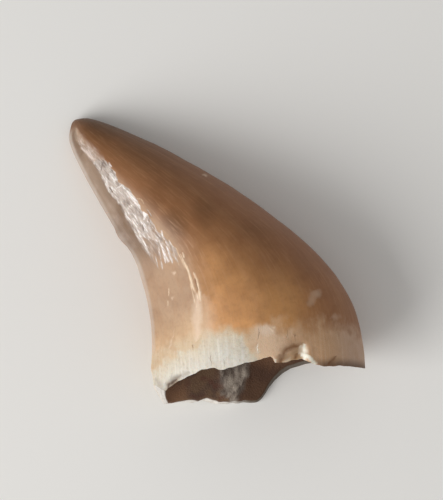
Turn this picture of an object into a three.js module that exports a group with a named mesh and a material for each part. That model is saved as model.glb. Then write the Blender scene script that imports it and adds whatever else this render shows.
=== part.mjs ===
// A fossil mosasaur tooth: one recurved crown with its root broken away, lying on its flatter side.
// Millimetres. +Z is up from the surface it lies on, +Y runs from the broken base towards the tip,
// and the crown curves back towards -X. The origin is under the middle of the tooth.
//
// The crown is a loft of lens-shaped cross-sections between a rear and a front edge. Each section
// leans a little towards the tip, domes up on the showing side and bulges less on the resting side.
// The broken base opens into a conical pulp cavity. The whole outside, the broken rim and the cavity
// wall are one closed surface, a function of the way around the section and the way along the tooth.
import * as THREE from "three";
import { ParametricGeometry } from "three/addons/geometries/ParametricGeometry.js";
import { mergeVertices } from "three/addons/utils/BufferGeometryUtils.js";

// The rear (concave) and front (convex) edges seen from above, at stations evenly spaced
// from under the broken base, u = 0, to the tip, u = 1.
const REAR_EDGE = [
  [-7.2, -16.6], [-7.4, -11.8], [-7.7, -6.7], [-9.0, -0.8], [-11.7, 3.5],
  [-14.0, 7.3], [-16.0, 10.9], [-17.4, 14.1], [-17.3, 16.1], [-16.9, 16.9],
];
const FRONT_EDGE = [
  [17.6, -15.6], [17.2, -9.8], [15.6, -4.3], [11.6, 1.0], [5.4, 6.2],
  [-1.2, 10.5], [-7.3, 13.8], [-12.5, 16.1], [-15.2, 17.0], [-16.9, 16.9],
];

// Heights of the two sides above and below the line between the edges, as a share of the width
// there, at the base and at the tip.
const DOME_SHARE = { base: 0.36, tip: 0.42 };
const BELLY_SHARE = { base: 0.29, tip: 0.36 };
const LEAN = new THREE.Vector3(-0.03, 0.2, 1).normalize();

// The belly is worn or naturally flat where the tooth lies, and lifts clear under the tip.
const FLAT_DEPTH = 0.35;
const TIP_LIFT = 1.1;

// The showing side has a flat strip along the rear edge that meets the dome at a lengthwise crease.
const DOME_ROUNDNESS = 0.56;
const CREASE_PLACE = 0.26;
const CREASE_HEIGHT = 0.86;
const CREASE_SHARPNESS = 7;

// Between the rear cutting edge and the crease the enamel has flaked off in a shallow band.
const FLAKE = { edge: 0.11, depth: 0.2, fade: 0.035, from: 0.31, to: 0.86, ends: 0.05 };

// The broken base, seen from above: the height of the break at each place across the tooth,
// through the showing wall and through the resting wall.
const UPPER_BREAK = [
  [-7.6, -14.3], [-6.8, -14.8], [-6.1, -15.2], [-5.6, -14.7], [-4.7, -14.1], [-3.7, -13.7],
  [-2.4, -12.9], [-1.6, -12.4], [-0.2, -12.1], [0.3, -12.4], [1.0, -12.4], [1.6, -12.1],
  [2.7, -11.8], [3.2, -11.6], [4.7, -11.2], [6.3, -10.8], [6.7, -11.5], [8.1, -11.6],
  [10.0, -11.4], [10.9, -11.7], [12.0, -12.0], [14.4, -12.0], [17.8, -12.6],
];
const LOWER_BREAK = [
  [-7.6, -14.3], [-6.9, -15.8], [-6.1, -17.0], [-5.1, -16.9], [-3.9, -16.7], [-2.9, -17.0],
  [-1.8, -16.6], [-1.0, -16.9], [-0.2, -17.1], [0.9, -17.1], [5.0, -17.0], [5.6, -16.4],
  [6.3, -15.2], [7.0, -14.4], [8.4, -13.1], [9.4, -12.7], [12.4, -12.0], [14.4, -12.1], [17.8, -12.6],
];
const BREAK_LIMIT = 0.3;
const BREAK_HALVINGS = 24;

// Two spalls out of the showing wall at the break: place, reach across and along, and depth.
const SPALLS = [
  { x: 8.9, y: -11.3, across: 1.7, along: 1.9, depth: 0.6 },
  { x: 13.4, y: -12.0, across: 1.3, along: 1.2, depth: 0.3 },
];

// The pulp cavity: the wall's thickness at the break, in general and along the rear edge, how far up
// the cavity reaches, and how fast it narrows.
const WALL = 1.2;
const REAR_WALL = 0.6;
const THIN_WALL_REACH = 0.12;
const PULP_TOP = 0.6;
const PULP_TAPER = 1.8;
// How many millimetres further up the crown the cavity's edge of the break lies than the outside's
// edge, by the degrees round the section: the showing wall is undercut.
const CROWN_LENGTH = 38;
const INNER_EDGE = [
  [0, 0], [20, 0.7], [35, 1.0], [70, 0.8], [110, 0.6], [180, 0.3], [200, 0.1], [340, 0.1], [360, 0],
];

const AROUND = 84;
const CROWN_ROWS = 38;
const RIM_ROWS = 2;
const PULP_ROWS = 12;
const WELD_TOLERANCE = 1e-4;

const { lerp, smoothstep, clamp, radToDeg } = THREE.MathUtils;
const edgeCurve = (points) => new THREE.SplineCurve(points.map(([x, y]) => new THREE.Vector2(x, y)));
const rearCurve = edgeCurve(REAR_EDGE);
const frontCurve = edgeCurve(FRONT_EDGE);

// Height of the dome above the edge line, 0 to 1, at v from the rear edge to the front edge:
// a blunt dome cut off by the flat strip, with a soft corner where they meet.
function domeProfile(v) {
  const dome = Math.max(4 * v * (1 - v), 0) ** DOME_ROUNDNESS;
  const strip = (CREASE_HEIGHT * v) / CREASE_PLACE;
  const corner = (dome ** CREASE_SHARPNESS + strip ** CREASE_SHARPNESS) ** (1 / CREASE_SHARPNESS);
  return corner > 0 ? (dome * strip) / corner : 0;
}

// 1 inside the flaked band, 0 outside it.
function flaked(u, v) {
  const across = smoothstep(v, FLAKE.edge, FLAKE.edge + FLAKE.fade)
    * (1 - smoothstep(v, CREASE_PLACE - FLAKE.fade, CREASE_PLACE));
  const along = smoothstep(u, FLAKE.from, FLAKE.from + FLAKE.ends)
    * (1 - smoothstep(u, FLAKE.to - FLAKE.ends, FLAKE.to));
  return across * along;
}

// A point of a cross-section: phi 0 is the rear edge, 0 to pi goes over the dome to the front edge,
// and pi to two pi comes back under the belly. wall and taper shrink it to the pulp cavity.
function sectionPoint(u, phi, wall = 0, taper = 1) {
  const rear = rearCurve.getPoint(u);
  const front = frontCurve.getPoint(u);
  const width = rear.distanceTo(front);
  const bellyDepth = width * lerp(BELLY_SHARE.base, BELLY_SHARE.tip, u);
  const domeHeight = width * lerp(DOME_SHARE.base, DOME_SHARE.tip, u);
  const edgeHeight = bellyDepth * LEAN.z - FLAT_DEPTH + TIP_LIFT * u ** 4;
  const v = (1 - Math.cos(phi)) / 2;
  const narrowing = width > 0 ? (Math.max(width / 2 - wall, 0) * taper) / (width / 2) : 1;
  const place = rear.lerp(front, 0.5 + (v - 0.5) * narrowing);
  const height = Math.sin(phi) >= 0
    ? Math.max(domeHeight - wall, 0) * taper * domeProfile(v)
    : Math.max(bellyDepth - wall, 0) * taper * Math.sin(phi);
  return new THREE.Vector3(place.x, place.y, edgeHeight).addScaledVector(LEAN, height);
}

// The outside of the crown: the section, flattened where it lies, with the flaked band and the spalls.
function crownPoint(u, phi) {
  const point = sectionPoint(u, phi);
  if (Math.sin(phi) > 0) {
    const v = (1 - Math.cos(phi)) / 2;
    let sunk = FLAKE.depth * flaked(u, v);
    for (const { x, y, across, along, depth } of SPALLS) {
      const away = Math.hypot((point.x - x) / across, (point.y - y) / along);
      sunk += depth * (1 - smoothstep(away, 0, 1));
    }
    point.addScaledVector(LEAN, -sunk);
  }
  point.z = Math.max(point.z, 0);
  return point;
}

// The value at a place in a table of places and values, in straight runs between them.
function read(table, place) {
  const next = clamp(table.filter(([before]) => before <= place).length, 1, table.length - 1);
  const [[start, from], [end, to]] = [table[next - 1], table[next]];
  return lerp(from, to, clamp((place - start) / (end - start), 0, 1));
}

// How far along the tooth the wall is broken off at phi, found by halving.
function breakPlace(phi) {
  const line = Math.sin(phi) >= 0 ? UPPER_BREAK : LOWER_BREAK;
  let [low, high] = [0, BREAK_LIMIT];
  for (let i = 0; i < BREAK_HALVINGS; i += 1) {
    const middle = (low + high) / 2;
    const point = sectionPoint(middle, phi);
    if (point.y < read(line, point.x)) low = middle;
    else high = middle;
  }
  return high;
}

// The cavity wall at u: the section, drawn in by the wall and narrowed towards the cavity's top.
function pulpPoint(u, phi) {
  const v = (1 - Math.cos(phi)) / 2;
  const wall = lerp(REAR_WALL, WALL, smoothstep(v, 0, THIN_WALL_REACH));
  return sectionPoint(u, phi, wall, 1 - Math.min(u / PULP_TOP, 1) ** PULP_TAPER);
}

// The whole surface in rows: down the cavity wall from its top, across the broken rim, and up the
// outside to the tip.
const ROWS = PULP_ROWS + RIM_ROWS + CROWN_ROWS;
const columnPhi = (column) => (2 * Math.PI * (column % AROUND)) / AROUND;
const breakPlaces = Array.from({ length: AROUND + 1 }, (_, column) => breakPlace(columnPhi(column)));
function toothPoint(around, along, target) {
  const column = Math.round(around * AROUND);
  const row = Math.round(along * ROWS);
  const phi = columnPhi(column);
  const broken = breakPlaces[column];
  const inner = broken + read(INNER_EDGE, radToDeg(phi)) / CROWN_LENGTH;
  if (row <= PULP_ROWS) {
    target.copy(pulpPoint(lerp(PULP_TOP, inner, row / PULP_ROWS), phi));
  } else if (row < PULP_ROWS + RIM_ROWS) {
    target.copy(pulpPoint(inner, phi)).lerp(crownPoint(broken, phi), (row - PULP_ROWS) / RIM_ROWS);
  } else {
    target.copy(crownPoint(lerp(broken, 1, (row - PULP_ROWS - RIM_ROWS) / CROWN_ROWS), phi));
  }
}

// Welds the seam and the two poles, and drops the triangles that closed up there.
function weld(geometry) {
  geometry.deleteAttribute("normal");
  geometry.deleteAttribute("uv");
  const welded = mergeVertices(geometry, WELD_TOLERANCE);
  const corners = welded.index.array;
  const kept = [];
  for (let i = 0; i < corners.length; i += 3) {
    const [a, b, c] = corners.subarray(i, i + 3);
    if (a !== b && b !== c && c !== a) kept.push(a, b, c);
  }
  welded.setIndex(kept);
  welded.computeVertexNormals();
  return welded;
}

const enamel = new THREE.MeshStandardMaterial({ color: 0x8f6340, roughness: 0.4, metalness: 0 });
const tooth = new THREE.Mesh(weld(new ParametricGeometry(toothPoint, AROUND, ROWS)), enamel);
tooth.name = "tooth";

const part = new THREE.Group();
part.add(tooth);

export default part;
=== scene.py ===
"""Looks of a fossil mosasaur tooth: one recurved crown, its root broken away, lying on its flatter side.

The frame is the part's own: +Z up from the surface, +Y from the broken base towards the tip, and the
crown curves back towards -X. Lengths are millimetres until build_mesh turns them to metres.

The tooth is one skin, a function of two parameters: phi, the way round a cross-section (0 is the rear
edge, 0 to pi goes over the dome to the front edge, pi to two pi comes back under the belly), and u,
the way along the crown from its base, 0, to its tip, 1. Its rows run down the pulp cavity, across the
broken rim, and up the outside. Relief is a height in millimetres that moves the skin along its own
normal, and the masks that the materials read come from the same formulas.

The first number of noise, rough and facets is a seed, which tells one random pattern from the next. A
coordinate times k gives about k lumps in a millimetre.
"""

import bpy
import numpy as np
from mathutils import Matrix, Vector


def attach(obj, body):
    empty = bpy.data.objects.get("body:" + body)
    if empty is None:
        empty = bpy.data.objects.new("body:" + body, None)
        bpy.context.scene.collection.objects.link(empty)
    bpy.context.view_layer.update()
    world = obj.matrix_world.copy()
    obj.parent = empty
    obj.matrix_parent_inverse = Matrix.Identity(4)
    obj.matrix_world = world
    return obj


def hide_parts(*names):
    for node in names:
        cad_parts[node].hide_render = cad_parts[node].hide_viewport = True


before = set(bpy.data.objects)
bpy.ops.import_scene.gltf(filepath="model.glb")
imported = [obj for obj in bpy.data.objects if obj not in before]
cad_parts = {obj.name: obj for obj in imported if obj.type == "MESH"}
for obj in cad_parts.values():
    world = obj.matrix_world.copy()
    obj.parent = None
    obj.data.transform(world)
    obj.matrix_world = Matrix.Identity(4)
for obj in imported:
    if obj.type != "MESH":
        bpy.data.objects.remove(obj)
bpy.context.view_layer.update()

MM = 0.001
# Keeps a division by zero away.
TINY = 1e-12

# --- Form of the crown, as the solid has it ---
# The rear and front edges seen from above, at stations evenly spaced from the base to the tip.
REAR_EDGE = [
    (-7.2, -16.6), (-7.4, -11.8), (-7.7, -6.7), (-9.0, -0.8), (-11.7, 3.5),
    (-14.0, 7.3), (-16.0, 10.9), (-17.4, 14.1), (-17.3, 16.1), (-16.9, 16.9),
]
FRONT_EDGE = [
    (17.6, -15.6), (17.2, -9.8), (15.6, -4.3), (11.6, 1.0), (5.4, 6.2),
    (-1.2, 10.5), (-7.3, 13.8), (-12.5, 16.1), (-15.2, 17.0), (-16.9, 16.9),
]
CROWN_LENGTH = 38.0
# The dome's height and the belly's depth along LEAN, as shares of the width at the base and the tip.
DOME_SHARE = (0.36, 0.42)
BELLY_SHARE = (0.29, 0.36)
LEAN = np.array([-0.03, 0.2, 1.0]) / np.linalg.norm([-0.03, 0.2, 1.0])
# How much of the belly is flat where the tooth lies, and how far the tip is lifted clear.
FLAT_DEPTH = 0.35
TIP_LIFT = 1.1
# The dome's bluntness, and the crease between it and the flat facet along the rear edge.
DOME_ROUNDNESS = 0.56
CREASE_PLACE = 0.26
CREASE_HEIGHT = 0.86
CREASE_SHARPNESS = 7
# Thickness of the wall round the pulp cavity, by the way across from the rear edge.
WALL = [(0.0, 1.2), (0.008, 1.0), (0.017, 0.75), (0.03, 0.55), (0.05, 0.5), (0.12, 1.2), (1.0, 1.2)]
PULP_TOP = 0.6
PULP_TAPER = 1.8

# The break across the base, seen from above: through the showing wall and through the resting wall.
UPPER_BREAK = [
    (-7.6, -14.3), (-6.8, -14.8), (-6.1, -15.2), (-5.6, -14.7), (-4.7, -13.95), (-3.7, -13.55),
    (-2.4, -12.9), (-1.6, -12.4), (-0.2, -12.1), (0.3, -12.4), (1.0, -12.4), (1.6, -12.1), (2.7, -11.8),
    (3.2, -11.6), (4.7, -11.2), (6.3, -10.8), (6.7, -11.5), (8.1, -11.6), (9.3, -11.2), (10.0, -11.15),
    (10.7, -11.45), (11.4, -11.75), (12.0, -12.0), (14.4, -12.0), (17.8, -12.6),
]
LOWER_BREAK = [
    (-7.6, -14.3), (-6.9, -15.8), (-6.1, -17.0), (-5.1, -16.9), (-3.9, -16.7), (-2.9, -17.0),
    (-1.8, -16.6), (-1.0, -16.9), (-0.2, -17.1), (0.9, -17.1), (5.0, -17.0), (5.6, -16.4), (6.3, -15.2),
    (7.0, -14.4), (8.4, -13.1), (9.4, -12.7), (12.4, -12.0), (14.4, -12.1), (17.8, -12.6),
]
BREAK_LIMIT = 0.3
BREAK_HALVINGS = 30
# Height of the break's small teeth, how many there are in a millimetre, and the sine of phi below
# which they fade out, towards the rear and front edges.
BREAK_RAGGEDNESS = 0.06
BREAK_TEETH = 1.6
BREAK_CALM = 0.3
# How many millimetres further up the crown the cavity's edge of the break lies than the outside's
# edge, by the degrees round the section.
INNER_EDGE = [
    (0, 0.0), (20, 0.7), (35, 1.0), (70, 0.8), (110, 0.6), (180, 0.3), (200, 0.1), (340, 0.1), (360, 0.0),
]

# --- Grid of the skin: its rows and columns, and how closely they lie along each stretch ---
SPACING_STEPS = 1001
PULP_ROWS = 40
RIM_ROWS = 8
CROWN_ROWS = 330
DOME_COLUMNS = 188
BELLY_COLUMNS = 68
DOME_DENSITY = [(0.0, 1.3), (0.1, 1.5), (0.2, 2.0), (0.38, 2.0), (0.5, 1.1), (1.0, 1.0)]
CROWN_DENSITY = [(0.0, 1.6), (0.08, 1.3), (0.16, 0.8), (0.24, 1.3), (0.75, 1.3), (0.85, 0.8), (1.0, 0.7)]
BELLY_DENSITY = [(0.0, 0.8), (0.46, 0.8), (0.52, 3.0), (0.72, 3.0), (0.78, 0.8), (1.0, 0.8)]
PULP_DENSITY = [(0.0, 0.5), (0.6, 1.0), (1.0, 2.4)]


def smoothstep(x, low, high):
    """0 below low, 1 above high, and 3 t^2 - 2 t^3 between them, with t the share of the way."""
    t = np.clip((x - low) / (high - low), 0.0, 1.0)
    return t * t * (3.0 - 2.0 * t)


def lerp(a, b, t):
    """a at t = 0, b at t = 1, and the straight line through them."""
    return a + (b - a) * t


def read(table, place):
    """The value at a place in a table of (place, value) pairs, in straight runs between them."""
    return np.interp(place, *np.transpose(table))


def spaced(count, density):
    """Places from 0 up to, but not at, 1, as close as a table of (place, density) says: they lie at even
    steps of the density's running sum."""
    fine = np.linspace(0.0, 1.0, SPACING_STEPS)
    level = read(density, fine)
    run = np.concatenate([[0.0], np.cumsum((level[1:] + level[:-1]) / 2)])
    return np.interp(np.arange(count) / count * run[-1], run, fine)


def hill(x, y, centre, reach):
    """1 at the centre, falling as 1 - d^2 to 0 at d = 1, where d is the distance over the reach."""
    d2 = ((x - centre[0]) / reach[0]) ** 2 + ((y - centre[1]) / reach[1]) ** 2
    return np.maximum(1.0 - d2, 0.0)


# Half the width of a stroke at its very ends, in millimetres.
LEAST_HALF_WIDTH = 1e-4


def stroke(x, y, places, width):
    """1 along straight runs between places, falling evenly to 0 at half the width away. The width
    tapers to both ends as the root of 4 s (1 - s), with s the share of the way along the runs."""
    places = np.array(places)
    steps = np.diff(places, axis=0)
    lengths = np.hypot(*steps.T)
    starts = np.cumsum(lengths) - lengths
    best = np.zeros(x.shape)
    for place, step, length, start in zip(places, steps, lengths, starts):
        off_x, off_y = x - place[0], y - place[1]
        t = np.clip((off_x * step[0] + off_y * step[1]) / length**2, 0.0, 1.0)
        s = (start + t * length) / lengths.sum()
        half = width / 2 * np.sqrt(4 * s * (1 - s)) + LEAST_HALF_WIDTH
        best = np.maximum(best, 1.0 - np.hypot(off_x - t * step[0], off_y - t * step[1]) / half)
    return best


def strokes(x, y, table):
    """The most of several strokes, each given as its places, width and strength, from 0 to 1."""
    return np.max([strength * stroke(x, y, places, width) for places, width, strength in table], axis=0)


def hills(x, y, table):
    """The most of several hills, each given as its centre, reach and strength, from 0 to 1."""
    return np.max([strength * hill(x, y, centre, reach) for centre, reach, strength in table], axis=0)


def spline(points, t):
    """Catmull-Rom curve through evenly spaced points: a cubic in each span, whose slope at a point is
    half the step between that point's neighbours."""
    points = np.array(points)
    last = len(points) - 1
    spans = np.clip(t, 0.0, 1.0) * last
    i = np.minimum(np.floor(spans).astype(int), last - 1)
    w = (spans - i)[..., None]
    p0, p1, p2, p3 = (points[np.clip(i + k, 0, last)] for k in (-1, 0, 1, 2))
    m1, m2 = (p2 - p0) / 2, (p3 - p1) / 2
    return (2 * p1 - 2 * p2 + m1 + m2) * w**3 + (3 * p2 - 3 * p1 - 2 * m1 - m2) * w**2 + m1 * w + p1


NOISE_VALUES = 4096
LATTICE_PRIMES = (73856093, 19349663, 83492791)


def lattice_values(seed, *corner):
    """A seeded random number from -1 to 1 for each whole-number corner, by hashing its coordinates."""
    table = np.random.default_rng(seed).uniform(-1.0, 1.0, NOISE_VALUES)
    key = np.zeros(corner[0].shape, np.int64)
    for whole, prime in zip(corner, LATTICE_PRIMES):
        key ^= whole * prime
    return table[key % NOISE_VALUES]


def noise(seed, x, y, z):
    """Smooth noise from -1 to 1: random values at the corners of a unit lattice, weighted by
    3 t^2 - 2 t^3 of the place in the cell along each axis."""
    place = np.broadcast_arrays(x, y, z)
    whole = [np.floor(a).astype(np.int64) for a in place]
    weight = [smoothstep(a - b, 0.0, 1.0) for a, b in zip(place, whole)]
    total = 0.0
    for corner in np.ndindex(2, 2, 2):
        share = 1.0
        for w, step in zip(weight, corner):
            share = share * (w if step else 1.0 - w)
        total = total + share * lattice_values(seed, *(a + step for a, step in zip(whole, corner)))
    return total


def rough(seed, x, y, z, layers=3):
    """Noise in layers, each half the size and half the height of the one before."""
    return sum(noise(seed + k, x * 2**k, y * 2**k, z * 2**k) / 2**k for k in range(layers))


# How far a cell's middle may lie from the middle of its square, as a share of the square's side.
JITTER = 0.45


def facets(seed, x, y):
    """Cells around one jittered middle in each unit square, as on a flaked or crystalline surface: each
    cell's random number, the height of a randomly tilted plane through its middle, a bowl that rises
    with the square of the distance from it, and how much further the next middle is, which is 0 on
    the ridge between two cells."""
    cell_x, cell_y = np.floor(x).astype(np.int64), np.floor(y).astype(np.int64)
    first, second = np.full(x.shape, np.inf), np.full(x.shape, np.inf)
    value, plane = np.zeros(x.shape), np.zeros(x.shape)
    for dx, dy in np.ndindex(3, 3):
        i, j = cell_x + dx - 1, cell_y + dy - 1
        off_x = x - (i + 0.5 + JITTER * lattice_values(seed, i, j))
        off_y = y - (j + 0.5 + JITTER * lattice_values(seed + 1, i, j))
        distance = np.hypot(off_x, off_y)
        closer = distance < first
        second = np.where(closer, first, np.minimum(second, distance))
        first = np.where(closer, distance, first)
        value = np.where(closer, lattice_values(seed + 2, i, j), value)
        tilted = off_x * lattice_values(seed + 3, i, j) + off_y * lattice_values(seed + 4, i, j)
        plane = np.where(closer, tilted, plane)
    return value, plane, first**2, second - first


def dome_profile(v):
    """Height of the dome from 0 to 1: (4 v (1 - v))^roundness, cut off near the rear edge by the
    straight line of the flat facet, with a soft corner where the two meet."""
    dome = np.maximum(4 * v * (1 - v), 0.0) ** DOME_ROUNDNESS
    facet = CREASE_HEIGHT * v / CREASE_PLACE
    corner = (dome**CREASE_SHARPNESS + facet**CREASE_SHARPNESS) ** (1 / CREASE_SHARPNESS)
    return dome * facet / np.maximum(corner, TINY)


def crown_width(u):
    """Distance between the rear and front edges at u."""
    return np.linalg.norm(spline(FRONT_EDGE, u) - spline(REAR_EDGE, u), axis=-1)


def section(u, phi, wall=0.0, taper=1.0):
    """Points of the cross-sections: from the rear to the front edge by v = (1 - cos phi) / 2, and
    along the lean by the dome's profile or the belly's sine, times the depth on that side. wall and
    taper draw the section in to the pulp cavity."""
    rear, front = spline(REAR_EDGE, u), spline(FRONT_EDGE, u)
    width = crown_width(u)
    belly, dome = width * lerp(*BELLY_SHARE, u), width * lerp(*DOME_SHARE, u)
    edge_height = belly * LEAN[2] - FLAT_DEPTH + TIP_LIFT * u**4
    v = (1 - np.cos(phi)) / 2
    narrowing = np.maximum(width / 2 - wall, 0.0) * taper / np.maximum(width / 2, TINY)
    place = lerp(rear, front, (0.5 + (v - 0.5) * narrowing)[..., None])
    height = np.where(
        np.sin(phi) >= 0,
        np.maximum(dome - wall, 0.0) * taper * dome_profile(v),
        np.maximum(belly - wall, 0.0) * taper * np.sin(phi),
    )
    return np.concatenate([place, edge_height[..., None]], -1) + height[..., None] * LEAN


def break_places(phi):
    """u of the broken edge at each phi, by halving: the place where the outside's y meets the break
    line, which is the list of points with a little raggedness added."""
    low, high = np.zeros(phi.shape), np.full(phi.shape, BREAK_LIMIT)
    for _ in range(BREAK_HALVINGS):
        middle = (low + high) / 2
        point = section(middle, phi)
        x, y = point[..., 0], point[..., 1]
        ragged = BREAK_RAGGEDNESS * rough(11, x * BREAK_TEETH, 0.0, np.sign(np.sin(phi)))
        line = np.where(np.sin(phi) >= 0, read(UPPER_BREAK, x), read(LOWER_BREAK, x))
        gone = y < line + ragged * smoothstep(np.abs(np.sin(phi)), 0.0, BREAK_CALM)
        low, high = np.where(gone, middle, low), np.where(gone, high, middle)
    return high


def normals(points):
    """Unit normals of a grid of points whose columns close on themselves, out of the skin: the cross
    product of the differences around it and along it."""
    along = np.gradient(points, axis=0)
    wrapped = np.concatenate([points[:, -1:], points, points[:, :1]], 1)
    around = (wrapped[:, 2:] - wrapped[:, :-2]) / 2
    normal = np.cross(around, along)
    return normal / np.maximum(np.linalg.norm(normal, axis=-1, keepdims=True), TINY)


# --- The flaked band, where the enamel has spalled away between the rear edge and the crease ---
# Its two long borders as (u, v), with v the way across the crown from the rear edge, 0, to the front.
BAND_REAR = [
    (0.3, 0.095), (0.36, 0.073), (0.38, 0.07), (0.42, 0.088), (0.46, 0.095), (0.5, 0.118),
    (0.56, 0.112), (0.6, 0.13), (0.63, 0.148), (0.665, 0.152), (0.69, 0.142), (0.72, 0.142),
    (0.77, 0.17), (0.8, 0.205), (0.9, 0.24),
]
BAND_FRONT = [
    (0.3, 0.21), (0.35, 0.235), (0.385, 0.222), (0.405, 0.215), (0.43, 0.232), (0.455, 0.24),
    (0.47, 0.225), (0.5, 0.25), (0.54, 0.262), (0.57, 0.235), (0.6, 0.28), (0.66, 0.285),
    (0.69, 0.29), (0.72, 0.275), (0.75, 0.255), (0.8, 0.27), (0.9, 0.26),
]
BAND_FROM = 0.335
BAND_TO = 0.87
BAND_FADE = 0.16
# Towards the tip the band is worn smooth, and near its lower end only patches of it are bare.
WORN_FROM, WORN_TO = 0.645, 0.672
PATCHY_FROM, PATCHY_TO = 0.34, 0.46
PATCHY_SHARE = 0.62
# Softness of its front border in millimetres, where it is fresh and where it is worn.
BORDER_SOFTNESS = (0.08, 0.6)
# Heights in millimetres: the band's depth, fresh and worn, the steps, slants and bowls of its flakes,
# those of its finer flakes, its fibres, and what is listed for it.
BAND_DEPTH = (0.18, 0.04)
FLAKE_STEP, FLAKE_SLANT, FLAKE_BOWL = 0.05, 0.07, 0.1
FINE_STEP, FINE_SLANT = 0.015, 0.02
FIBRE_HEIGHT = 0.012
LIP_HEIGHT, REAR_LIP_HEIGHT = 0.09, 0.06
CREVICE_DEPTH, BOWL_DEPTH = 0.12, 0.1

# Bright raised lips and splinters of enamel, the last of them a painted highlight at the core of the sheen
# near the tip, and dark crevices: each stroke's places seen from above, its width and its strength.
LIPS = [
    ([(-10.5, 8.3), (-9.6, 7.2), (-8.9, 6.0)], 0.8, 1.0),
    ([(-8.1, 6.0), (-7.6, 5.1)], 0.4, 0.7),
    ([(-8.6, 5.8), (-8.4, 5.3), (-8.6, 4.7)], 0.62, 1.0),
    ([(-8.2, 5.0), (-8.1, 4.4)], 0.3, 0.8),
    ([(-9.9, 4.7), (-9.3, 3.8)], 0.45, 0.8),
    ([(-11.8, 8.5), (-11.0, 8.9), (-10.8, 8.3)], 0.3, 0.9),
    ([(-12.8, 8.5), (-12.7, 8.1)], 0.26, 0.7),
    ([(-12.5, 8.8), (-12.1, 8.2)], 0.28, 0.7),
    ([(-6.4, 3.6), (-6.2, 2.3)], 0.46, 0.7),
    ([(-5.95, 2.3), (-5.5, 1.0), (-5.1, -0.3)], 0.66, 0.8),
    ([(-5.5, 2.5), (-5.0, 1.1), (-4.8, 0.3)], 0.44, 0.55),
    ([(-6.9, 1.6), (-6.5, 0.2)], 0.46, 0.7),
    ([(-6.5, 2.0), (-6.1, 0.7), (-5.9, -0.2)], 0.6, 0.75),
    ([(-6.1, 1.2), (-5.6, -0.2)], 0.4, 0.6),
    ([(-5.2, 0.9), (-4.5, -0.1)], 0.42, 0.6),
    ([(-6.4, 2.3), (-5.6, -0.2)], 2.6, 0.46),
    ([(-7.8, 1.8), (-7.4, 0.3)], 0.5, 0.5),
    ([(-9.5, 4.0), (-9.2, 3.4), (-8.6, 2.3), (-8.0, 1.1)], 0.42, 0.8),
    ([(-8.0, 1.1), (-7.4, 0.1), (-6.8, -0.9)], 0.3, 0.4),
    ([(-7.1, 0.6), (-6.9, -0.8)], 0.44, 0.7),
    ([(-6.5, 0.1), (-6.3, -1.0)], 0.4, 0.6),
    ([(-7.3, 3.4), (-7.0, 2.0)], 0.35, 0.4),
    ([(-13.1, 12.0), (-12.9, 11.0)], 0.7, 0.5),
    ([(-12.6, 11.6), (-12.3, 11.0)], 0.34, 0.8),
    ([(-12.6, 10.4), (-11.9, 9.4)], 0.36, 0.8),
    # A painted highlight, the core of the sheen on the worn band near the tip.
    ([(-16.1, 13.5), (-15.6, 13.1), (-15.1, 12.6), (-14.3, 11.9)], 0.95, 0.7),
]
CREVICES = [
    ([(-13.3, 11.9), (-13.6, 11.3), (-13.7, 10.5)], 0.24, 1.0),
    ([(-12.5, 11.0), (-12.2, 10.5), (-11.9, 9.9)], 0.14, 0.5),
    ([(-12.6, 8.7), (-12.3, 8.0)], 0.34, 1.0),
    ([(-8.7, 4.2), (-8.6, 3.5)], 0.26, 1.0),
    ([(-6.7, 0.0), (-6.7, -0.9)], 0.2, 0.8),
]
# Deeper bowls in the band, and sound enamel left standing inside it: centre, reach and strength.
BOWLS = [
    ((-10.4, 6.7), (0.6, 0.85), 0.6),
    ((-9.5, 5.8), (0.75, 0.75), 0.65),
    ((-11.5, 9.5), (0.6, 0.8), 0.6),
    ((-8.9, 3.9), (0.4, 0.8), 0.4),
]
ISLANDS = [
    ((-7.5, 2.9), (0.7, 1.2), 0.4),
    ((-7.1, 5.0), (0.4, 0.8), 0.6),
]
# Long pale splinters below the band, along the crease, their brightness partly painted glint, short ones
# on the facet, a curl beside the band, a bright flake at the base, and a gap of painted shadow between two
# splinters.
SLIVERS = [
    ([(-4.2, 0.9), (-3.2, -1.1), (-2.7, -2.9), (-1.9, -4.5)], 0.42, 0.9),
    ([(-2.6, -1.2), (-2.2, -2.2), (-1.9, -3.7), (-1.8, -4.6)], 0.44, 1.0),
    ([(-3.9, 1.1), (-3.7, 0.4)], 0.26, 0.9),
    ([(-4.7, 1.6), (-4.1, 0.3), (-3.6, -0.9)], 0.22, 0.6),
    ([(-5.0, 0.9), (-4.3, -0.5)], 0.2, 0.5),
    ([(-3.0, -2.6), (-2.6, -4.2), (-2.2, -5.2)], 0.2, 0.6),
    ([(-5.5, -3.1), (-5.5, -4.0)], 0.16, 0.7),
    ([(-5.6, -4.5), (-5.6, -5.3)], 0.14, 0.6),
    ([(-9.2, 7.3), (-8.75, 7.2), (-8.4, 6.7)], 0.15, 0.6),
    ([(6.6, -7.5), (6.2, -8.1)], 0.32, 0.7),
]
SHADOW_GAP_IN_SLIVERS = [([(-2.5, -1.9), (-2.0, -3.5)], 0.12, 1.0)]
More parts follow.
